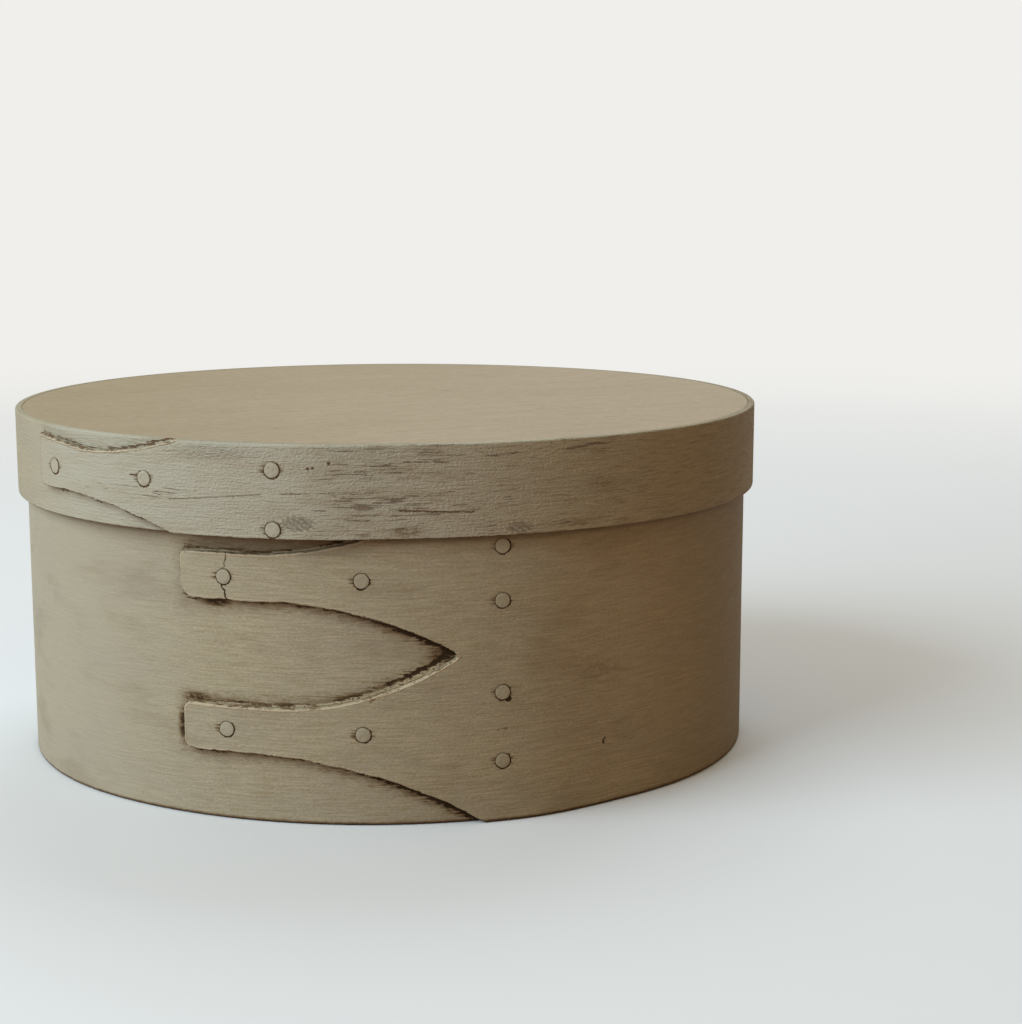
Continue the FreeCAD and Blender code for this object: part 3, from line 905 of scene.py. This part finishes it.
        behind = self.place.ramp(strip.tip + 0.4 * mm, strip.tip - 0.2 * mm)
        low_finger = self.height.ramp(strip.middles[0] + 9 * mm, strip.middles[0] + 7 * mm) * 0.5 + 0.45
        glaze = glaze + behind * ((line * low_finger).above(cast * 0.6 * low_finger) - glaze)
        for *spot, strength in smudges:
            glaze = glaze.above(self.patch(*spot) * (0.4 + self.ragged.ramp(0.40, 0.52) * 0.6) * strength)
        glaze = glaze * self.under * (outside > 0.0)
        lit_ledge = ledge * self.upward * self.under * (1 - behind)
        return glaze, cast, lit_ledge

    def tack_glaze(self, glaze):
        """Glaze in the rings round the tacks, dragged out along the band; each ring is darker towards the
        lower right, a painted shadow of the head.
        """
        fasteners = settings().fasteners
        seat = fasteners.head / 2 + fasteners.ring
        for x, y in self.strip.tacks:
            across, up = self.place - x, self.height - y
            distance = size_of(across, up)
            shaded = ((across - up) / distance.above(0.1 * mm)).ramp(-1.2, 1.2)
            ring = (distance + self.wander * 1.1 * mm).ramp(seat + 0.3 * mm, seat + 0.02 * mm)
            streak = (across * across * 0.16 + up * up).root().ramp(seat + 0.1 * mm, 0.4 * mm)
            streak = streak * distance.ramp(4.2 * mm, seat)
            left = across.ramp(0.0, -2 * mm) * self.ragged * 0.5
            # the ring: glaze all round, and a painted shadow of the head that deepens towards the lower
            # right
            glaze = glaze.above(ring * (0.28 + shaded * 0.76))
            glaze = glaze.above(streak * (self.hair.ramp(0.44, 0.60) * 0.7 + left))
        return glaze

    def mark_glaze(self, glaze, scratches, gaps):
        """Glaze in scratches and holes, and a dark line along the foot that is a painted contact shadow.
        """
        strip = self.strip
        zigzag = self.finish.grain(self.flat, (3.0, 0.9, 3.0), 2.0, 0.7) - 0.5
        shaken = self.place + zigzag * 1.6 * mm, self.height + self.wander * 0.5 * mm
        for start, end, width, strength in scratches:
            spot = line_distance(*shaken, start, end) + (self.speck - 0.5) * 0.24 * mm
            mark = spot.ramp(width, width * 0.4) * self.ragged.ramp(0.34, 0.44)
            glaze = glaze.above(mark * (self.outside < -0.05 * mm) * strength)
        for (x, y), radius in gaps:
            hole = size_of(self.place - x, self.height - y) + self.wander * 0.5 * mm
            glaze = glaze.above(hole.ramp(radius, radius * 0.75))
        # a dark line along the lower rim: painted contact shadow
        foot = self.height + self.wander * 0.6 * mm
        return glaze.above(foot.ramp(strip.low + 2 * strip.foot, strip.low + 0.3 * strip.foot) * 0.75)

    def bare_inside(self, colour):
        """The colour, with bare wood on the face that is turned inwards."""
        strip, colours = self.strip, settings().colours
        inside = self.depth.ramp(0.12 * strip.thickness, 0.04 * strip.thickness)
        inside = inside * (self.height < strip.high - 0.2 * mm)
        grain = self.finish.grain(self.flat, (60, 2.2, 2.2), 4.0, 0.6, 0.4)
        bare = self.finish.mix(grain.ramp(0.35, 0.75) * 0.4, colours.inside, colours.inside_dark)
        return self.finish.mix(inside, colour, bare)

    def material(self, deep, rub, scratches, gaps, smudges):
        """The whole finish; deep is the glaze at its thickest."""
        colours, finish, ragged = settings().colours, self.finish, self.ragged
        wear, stain, swell, paler_cooler, under_lid_shade = rub(self)
        colour = self.coat(wear, stain, paler_cooler, under_lid_shade)
        glaze, cast, lit_ledge = self.edge_glaze(smudges)
        # ridge: pale paint along the fingers' own edges, worn pale all round and a painted highlight where
        # the edges face up
        off_edge = abs(self.outside + 0.28 * mm + self.wander * 0.8 * mm)
        ridge = off_edge.ramp(0.38 * mm, 0.12 * mm) * self.over
        colour = finish.coated(
            colour,
            ((cast * 0.6 * (1 - lit_ledge)).below(1.0) * self.under, colours.stain),
            # painted highlight on the ledge over the fingers' upper edges
            (lit_ledge * 0.85 * ragged.ramp(0.34, 0.52), colours.highlight),
            (ridge * (0.3 + 0.6 * self.upward), colours.highlight))
        # nibble: glaze along the fingers' own edges, heavier on down-facing edges, where it is partly
        # painted shade
        nibble = (self.outside + self.wander * 2.2 * mm).ramp(-0.1 * mm, 0.1 * mm) * self.over
        glaze = self.tack_glaze(glaze.above(nibble * (0.85 - 0.35 * self.upward)))
        glaze = self.mark_glaze(glaze, scratches, gaps)
        colour = finish.coated(colour, (glaze.ramp(0.04, 0.55) * 0.9, colours.stain),
                               (glaze.ramp(0.40, 0.90), deep))
        crumbs = (lit_ledge * self.speck * 1.2).above(ridge * self.speck)
        texture = self.brush * 0.5 + self.hair * 0.7 + self.speck * 0.5 + ragged * 0.4
        relief = texture * (self.worked * 0.7 + 0.3) + crumbs - glaze * 0.7 - wear * 0.5 + swell
        finish.set("Specular IOR Level", 0.32)
        return finish.done(self.bare_inside(colour), (0.55 + self.brush * 0.2 + glaze * 0.25).below(1.0),
                           relief, self.strip.sizes.relief)


def scratches_from(along, up, rows):
    """Scratches from rows of start, end, width and strength, in millimetres from a spot."""
    return [((along + a * mm, up + b * mm), (along + c * mm, up + d * mm), width * mm, strength)
            for a, b, c, d, width, strength in rows]


def box_marks(box):
    """A split through the first tack, nicks and a slanted scratch, smears of glaze at the fingers, and a
    wide smear of painted shade under the lid's rim over the upper finger.
    """
    (x, y), high_line = box.tacks[0], box.edges[3].line
    arch_low, arch_high = box.edges[1].line, box.edges[2].line
    scratches = [
        ((x + 0.1 * mm, y + 1.8 * mm), (x + 0.7 * mm, high_line + 0.5 * mm), 0.2 * mm, 0.6),
        ((x - 0.3 * mm, y - 1.8 * mm), (x + 0.9 * mm, arch_high - 0.3 * mm), 0.3 * mm, 0.9),
    ] + scratches_from(box.row, 0.0, [
        (25.3, 14.2, 25.4, 15.3, 0.34, 0.95),
        (-1.4, 20.6, 1.2, 20.9, 0.2, 0.4),
        (-28.2, 28.0, -27.2, 28.6, 0.4, 0.35),
    ])
    gap = (box.tacks[7][0] + 1.3 * mm, box.tacks[7][1] - 1.5 * mm)
    smudges = [
        (box.tip + 2.6 * mm, arch_low + 0.8 * mm, 6.0 * mm, 1.9 * mm, 0.85),
        (box.tip + 8 * mm, arch_high - 0.8 * mm, 6 * mm, 1.8 * mm, 0.9),
        (box.tip - 0.9 * mm, box.tacks[2][1] - 0.6 * mm, 2.4 * mm, 6.6 * mm, 1.05),
        (box.tip + 59 * mm, (box.middles[0] + box.middles[1]) / 2, 8 * mm, 3.0 * mm, 1.0),
        # painted shade under the lid's rim, over the upper finger
        (box.tip + 34 * mm, high_line + 5 * mm, 46 * mm, 9 * mm, 0.25),
    ]
    return scratches, [(gap, 0.8 * mm)], smudges


def lid_marks(lid):
    """Thin scratches along the grain, and three pin holes past the row of tacks."""
    x, y = lid.tacks[1]
    scratches = scratches_from(x, y, [(-3.4, 0.6, -1.6, 0.6, 0.2, 0.9)]) + scratches_from(lid.row, 0.0, [
        (-23.3, 70.95, -2.6, 72.9, 0.2, 0.35),
        (1.8, 73.2, 6, 73.3, 0.2, 0.4),
        (26.3, 69.6, 42, 68.9, 0.22, 0.55),
        (27, 79.9, 37, 79.5, 0.18, 0.4),
    ])
    gaps = [((lid.row + along * mm, up * mm), radius * mm)
            for along, up, radius in ((7.6, 78.6, 0.36), (8.6, 78.7, 0.34), (11.9, 79.7, 0.34))]
    return scratches, gaps, []


def box_rub(paint):
    """The box's wear, stain, swelling, paler cooler paint and painted shade: brown clouds, browner paint
    towards the right end that is painted shade, and a painted shadow under the lid's rim and in the recess
    over the upper finger.
    """
    place, height = paint.place, paint.height
    box, rim = paint.strip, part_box("lid_band")[0].z
    cloud = paint.finish.grain(paint.waved, (24, 11, 12), 3.0, 0.6)
    # browner towards the right end: painted shade on the side away from the window light
    painted_right_shade = place.ramp(48 * mm, 118 * mm) * place.ramp(240 * mm, 150 * mm)
    scuff = paint.patch(47 * mm, 31 * mm, 13 * mm, 4.5 * mm) * paint.ragged.ramp(0.38, 0.56)
    stain = (cloud.ramp(0.50, 0.70) * 0.2).above(painted_right_shade * 0.6).above(scuff * 0.3)
    # paler, cooler paint towards the left end
    paler_cooler = place.ramp(-36 * mm, -80 * mm) * place.ramp(-240 * mm, -170 * mm) * 0.4
    # painted shadow just under the lid's rim, and painted shade in the recess the lid overhangs
    lid_rim_shadow = height.ramp(rim - 1.9 * mm, rim - 0.7 * mm) * height.ramp(rim + 1.4 * mm, rim + 0.2 * mm)
    above_finger = (height - box.edges[3].line).ramp(-0.4 * mm, 0.6 * mm)
    lid_recess_shade = above_finger * height.ramp(rim + 5 * mm, rim + 1 * mm)
    lid_recess_shade = lid_recess_shade * place.ramp(box.tip + 0.6 * mm, box.tip + 3 * mm)
    lid_recess_shade = lid_recess_shade * place.ramp(box.tip + 43 * mm, box.tip + 36 * mm)
    return 0.0, stain, 0.0, paler_cooler, (lid_rim_shadow * 0.45).above(lid_recess_shade * 0.3)


def lid_rub(paint):
    """Streaks rubbed past the row of tacks, most along the lid's edges, and browner paint towards the
    right end that is painted shade; this gives what box_rub gives.
    """
    place, height, ragged = paint.place, paint.height, paint.ragged
    row, low = paint.strip.row, paint.strip.low

    def patch(along, up, half_length, half_height):
        return paint.patch(row + along * mm, low + up * mm, half_length * mm, half_height * mm)

    cloud = paint.finish.grain(paint.waved, (13, 3.2, 5), 3.0, 0.65)
    thread = paint.finish.grain(paint.waved, (8.0, 0.4, 0.6), 3.0, 0.66)
    past = place.ramp(row - 6 * mm, row + 22 * mm) * place.ramp(240 * mm, 180 * mm)
    where = past * place.ramp(row + 76 * mm, row + 46 * mm) * 0.35 + past * 0.12
    worst = (((24, 6.8, 24, 5.0), 1.0), ((16, 18.6, 17, 2.2), 0.95), ((66, 18.4, 24, 3.2), 0.8),
             ((14, 9.9, 30, 1.0), 0.9), ((-30, 9.0, 34, 2.4), 0.5))
    for spot, amount in worst:
        where = where.above(patch(*spot) * amount)
    pick = thread + (cloud - 0.5) * 0.4 + (where - 0.5) * 0.16
    dashes = pick.ramp(0.625, 0.665) * where.ramp(0.02, 0.3)
    faint = paint.hair.ramp(0.58, 0.68) * past * 0.3
    curls = patch(5.3, 3.5, 5.0, 2.2).above(patch(52, 1.6, 4.6, 2.0) * 0.7)
    phase = place * 0.75 + height + (ragged - 0.5) * 1.2 * mm
    ripple = (phase / (0.2 * mm)).math("SINE") * curls.ramp(0.0, 0.5)
    wear = (dashes * 0.62).above(faint).above(ripple.ramp(0.3, 0.9) * 0.42)

    # browner towards the right end: painted shade on the side away from the window light
    painted_right_shade = place.ramp(36 * mm, 100 * mm) * place.ramp(240 * mm, 150 * mm)
    stain = (past * cloud.ramp(0.48, 0.70) * 0.2).above(painted_right_shade * 0.3)
    smears = (((28, 1.7, 5.5, 1.7), 0.85), ((19, 1.2, 3, 1.0), 0.6), ((66, 1.8, 12, 1.6), 0.5),
              ((72, 10, 7, 3), 0.4))
    for spot, strength in smears:
        stain = stain.above(patch(*spot) * ragged.ramp(0.36, 0.56) * strength)
    # paler, cooler paint over the front left of the lid
    paler_cooler = place.ramp(row + 78 * mm, row + 24 * mm) * place.ramp(-114 * mm, -72 * mm)
    paler_cooler = paler_cooler * (0.6 + cloud.ramp(0.62, 0.40) * 0.4) * 0.95
    lumps = patch(-14, 18.4, 16, 2.6) * ragged
    return wear, stain, ripple * 0.7 + lumps * 2.0, paler_cooler, 0.0


# ---------------------------------------------------------------- the other materials


def painted_board():
    """The same paint on the lid's board, warmer, over long straight grain, and warmer and darker towards
    the left as painted shade.
    """
    colours = settings().colours
    warm = colours.paint_warm
    finish = Finish("painted lid board")
    place = finish.place()
    turn = (0, 0, math.radians(-24))
    turned = finish.node("ShaderNodeMapping", {}, {"Vector": place, "Rotation": turn})[0]
    blotch = finish.grain(turned, (60, 34, 9), 3.0, 0.5)
    figure = finish.grain(turned, (34, 1.6, 9), 3.0, 0.6, 0.3)
    fibre = finish.grain(turned, (7, 0.6, 0.5), 3.0, 0.6)
    speck = finish.grain(turned, (1.8, 0.9, 0.9), 2.0, 0.6)
    across, along = finish.parts(place)[:2]
    lid = lid_strip()
    rim = lid.oval.front_radius - lid.thickness - 0.3 * mm
    gap = size_of(across, along - lid.oval.reach) - rim
    seam = gap.ramp(-0.1 * mm, 0.1 * mm) * across.ramp(-34 * mm, -26 * mm) * across.ramp(8 * mm, 0.0)
    colour = finish.coated(
        colours.top_paint,
        # the across ramp makes the board warmer and darker towards the left: painted shade
        (blotch.ramp(0.35, 0.68) * 0.35, warm), (across.ramp(10 * mm, -80 * mm) * 0.4, warm),
        (figure.ramp(0.40, 0.64) * 0.4, warm), (fibre.ramp(0.50, 0.66) * 0.6, warm),
        (speck.ramp(0.52, 0.68) * 0.3, colours.highlight), (speck.ramp(0.46, 0.30) * 0.35, warm),
        (fibre.ramp(0.64, 0.74) * 0.5, colours.bare), (seam * fibre.ramp(0.4, 0.5) * 0.8, colours.rust))
    return finish.done(colour, 0.52 + fibre * 0.2, fibre * 0.8 + figure * 0.3 + speck * 0.8, 0.2 * mm)


def bare_board():
    """Planed softwood with straight growth lines."""
    colours = settings().colours
    finish = Finish("bottom board wood")
    place = finish.place()
    figure = finish.grain(place, (160, 4.5, 30), 3.0, 0.5, 0.5)
    fibre = finish.grain(place, (14, 0.4, 0.6), 2.0, 0.5)
    colour = finish.coated(colours.inside, (figure.ramp(0.36, 0.68) * 0.45, colours.inside_dark),
                           (fibre.ramp(0.6, 0.8) * 0.4, colours.bare))
    return finish.done(colour, 0.6 + fibre * 0.15, fibre + figure * 0.5, 0.06 * mm)


def painted_head(name, worn):
    """Paint over a hammered copper head, mixed with a given tone; the lid's heads get a paler, cooler tone
    that is a painted highlight.
    """
    colours = settings().colours
    finish = Finish(name)
    place = finish.place()
    dent = finish.grain(place, (0.9, 0.9, 0.9), 2.0, 0.5)
    fine = finish.grain(place, (0.3, 0.3, 0.3), 2.0, 0.5)
    colour = finish.coated(worn, (0.3 + dent.ramp(0.4, 0.65) * 0.4, colours.paint),
                           (fine.ramp(0.62, 0.72) * 0.5, colours.stain))
    return finish.done(colour, 0.42 + dent * 0.2, dent + fine * 0.3, 0.12 * mm)


def tack_copper():
    """Tarnished copper, for the turned points."""
    colours = settings().colours
    finish = Finish("tack copper")
    tarnish = finish.grain(finish.place(), (0.8, 0.8, 0.8), 3.0, 0.6)
    finish.set("Metallic", 1.0)
    return finish.done(finish.mix(tarnish.ramp(0.35, 0.7), colours.copper, colours.glaze),
                       0.35 + tarnish * 0.3, tarnish, 0.05 * mm)


# ---------------------------------------------------------------- operators


class OVALBOX_OT_bands(bpy.types.Operator):
    """Shape both bands, with their fingers, laps and tack seats"""
    bl_idname = "oval_box.bands"
    bl_label = "Bands"

    def execute(self, context):
        colours = settings().colours
        box, lid = box_strip(), lid_strip()
        box_paint = BandPaint(box, "painted box band").material(colours.glaze, box_rub, *box_marks(box))
        lid_paint = BandPaint(lid, "painted lid band").material(colours.rust, lid_rub, *lid_marks(lid))
        make_band(box, "BoxBand", box_paint, "box", "box_band")
        make_band(lid, "LidBand", lid_paint, "lid", "lid_band")
        return {"FINISHED"}


class OVALBOX_OT_boards(bpy.types.Operator):
    """Shape the bottom board and the lid's board"""
    bl_idname = "oval_box.boards"
    bl_label = "Boards"

    def execute(self, context):
        bands = settings().bands
        make_board(box_strip(), "BoxBottom", bands.bottom_ease, bare_board(), "box", "board_wood",
                   "box_bottom")
        make_board(lid_strip(), "LidBoard", bands.lid_ease, painted_board(), "lid", "painted_board",
                   "lid_board")
        return {"FINISHED"}


class OVALBOX_OT_tacks(bpy.types.Operator):
    """Drive the copper tacks"""
    bl_idname = "oval_box.tacks"
    bl_label = "Tacks"

    def execute(self, context):
        colours = settings().colours
        copper = tack_copper()
        # the lid's heads take the paler, cooler paint: a painted highlight
        for body, strip, worn in (("box", box_strip(), colours.paint_cool),
                                  ("lid", lid_strip(), colours.paler_cooler)):
            materials = [painted_head(f"painted {body} tack head", worn), copper]
            for number, spot in enumerate(strip.tacks, start=1):
                make_tack(strip, spot, number, f"{body.title()}Tack{number}", materials, body,
                          f"{body}_tack_{number}")
        return {"FINISHED"}


class OVALBOX_OT_pegs(bpy.types.Operator):
    """Drive the wooden pegs"""
    bl_idname = "oval_box.pegs"
    bl_label = "Pegs"

    def execute(self, context):
        for body, strip in (("box", box_strip()), ("lid", lid_strip())):
            material = bpy.data.materials[f"painted {body} band"]
            for number, spot in enumerate(peg_spots(strip), start=1):
                make_peg(strip, spot, f"{body.title()}Peg{number}", material, body,
                         f"{body}_peg_{number}")
        return {"FINISHED"}


class OVALBOX_OT_stage(bpy.types.Operator):
    """Set out the floor, the light and the camera"""
    bl_idname = "oval_box.stage"
    bl_label = "Stage"

    def execute(self, context):
        stage = settings().stage
        self.lay_floor(stage)
        self.light_room(stage)
        self.set_camera(stage)
        context.scene.view_settings.view_transform = "Standard"
        return {"FINISHED"}

    def lay_floor(self, stage):
        """A pale floor that melts into the backdrop far from the box."""
        finish = Finish("plain floor")
        path = finish.node("ShaderNodeLightPath", {}, {})
        seen = path[0].above(path[3])
        across, along = finish.parts(finish.place())[:2]
        far = size_of(across, along).ramp(stage.fade_near, stage.fade_far) * seen
        black = (0.0, 0.0, 0.0)
        finish.set("Base Color", finish.mix(far, finish.mix(seen, stage.bounce, stage.floor), black))
        finish.set("Emission Color", finish.mix(far, black, stage.backdrop))
        finish.set("Emission Strength", 1.0)
        finish.set("Specular IOR Level", 0.0)
        finish.set("Roughness", 0.9)
        bm = bmesh.new()
        bmesh.ops.create_grid(bm, x_segments=1, y_segments=1, size=stage.floor_reach)
        mesh = bpy.data.meshes.new("Floor")
        bm.to_mesh(mesh)
        bm.free()
        mesh.materials.append(finish.material)
        floor = bpy.data.objects.new("Floor", mesh)
        bpy.context.scene.collection.objects.link(floor)

    def light_room(self, stage):
        """Even light from all round, a large soft light at the left and a soft one behind."""
        world = bpy.data.worlds.new("Room")
        bpy.context.scene.world = world
        tree = Tree(world)
        seen = tree.node("ShaderNodeLightPath", {}, {})[0]
        colour = tree.mix(seen, stage.room, stage.backdrop)
        background = tree.node("ShaderNodeBackground", {}, {"Color": colour})[0]
        tree.node("ShaderNodeOutputWorld", {}, {"Surface": background})
        for name, power, spot in (("Window", stage.key, stage.window_at),
                                  ("Back", stage.back, stage.back_at)):
            light = bpy.data.lights.new(name, "AREA")
            light.shape = "SQUARE"
            light.size = stage.light_size
            light.energy = power
            light.color = stage.daylight
            lamp = bpy.data.objects.new(name, light)
            lamp.location = spot
            aim = Vector((0, 0, stage.light_aim)) - lamp.location
            lamp.rotation_euler = aim.to_track_quat("-Z", "Y").to_euler()
            bpy.context.scene.collection.objects.link(lamp)

    def set_camera(self, stage):
        camera_data = bpy.data.cameras.new("Camera")
        camera_data.lens = stage.focal_length
        camera_data.sensor_width = 36.0
        camera_data.clip_start = 0.01
        camera = bpy.data.objects.new("Camera", camera_data)
        camera.location = (0, -stage.distance, stage.height)
        level = math.cos(stage.pitch)
        ahead = Vector((math.sin(stage.yaw) * level, math.cos(stage.yaw) * level, -math.sin(stage.pitch)))
        camera.rotation_euler = ahead.to_track_quat("-Z", "Y").to_euler()
        bpy.context.scene.collection.objects.link(camera)
        bpy.context.scene.camera = camera


class OVALBOX_PT_panel(bpy.types.Panel):
    """Lists the steps that make the box"""
    bl_idname = "OVALBOX_PT_panel"
    bl_label = "Oval Box"
    bl_space_type = "VIEW_3D"
    bl_region_type = "UI"
    bl_category = "Oval Box"

    def draw(self, context):
        for operator in operators:
            self.layout.operator(operator.bl_idname)


operators = (OVALBOX_OT_bands, OVALBOX_OT_boards, OVALBOX_OT_tacks, OVALBOX_OT_pegs, OVALBOX_OT_stage)
groups = (BandSizes, BoxBandSizes, LidBandSizes, FastenerSizes, PaintColours, StageSettings,
          OvalBoxSettings)
classes = groups + operators + (OVALBOX_PT_panel,)


def register():
    for cls in classes:
        bpy.utils.register_class(cls)
    bpy.types.Scene.oval_box = PointerProperty(type=OvalBoxSettings)


def unregister():
    del bpy.types.Scene.oval_box
    for cls in reversed(classes):
        bpy.utils.unregister_class(cls)


def main():
    register()
    bpy.ops.oval_box.bands()
    bpy.ops.oval_box.boards()
    bpy.ops.oval_box.tacks()
    bpy.ops.oval_box.pegs()
    bpy.ops.oval_box.stage()


if __name__ == "__main__":
    main()
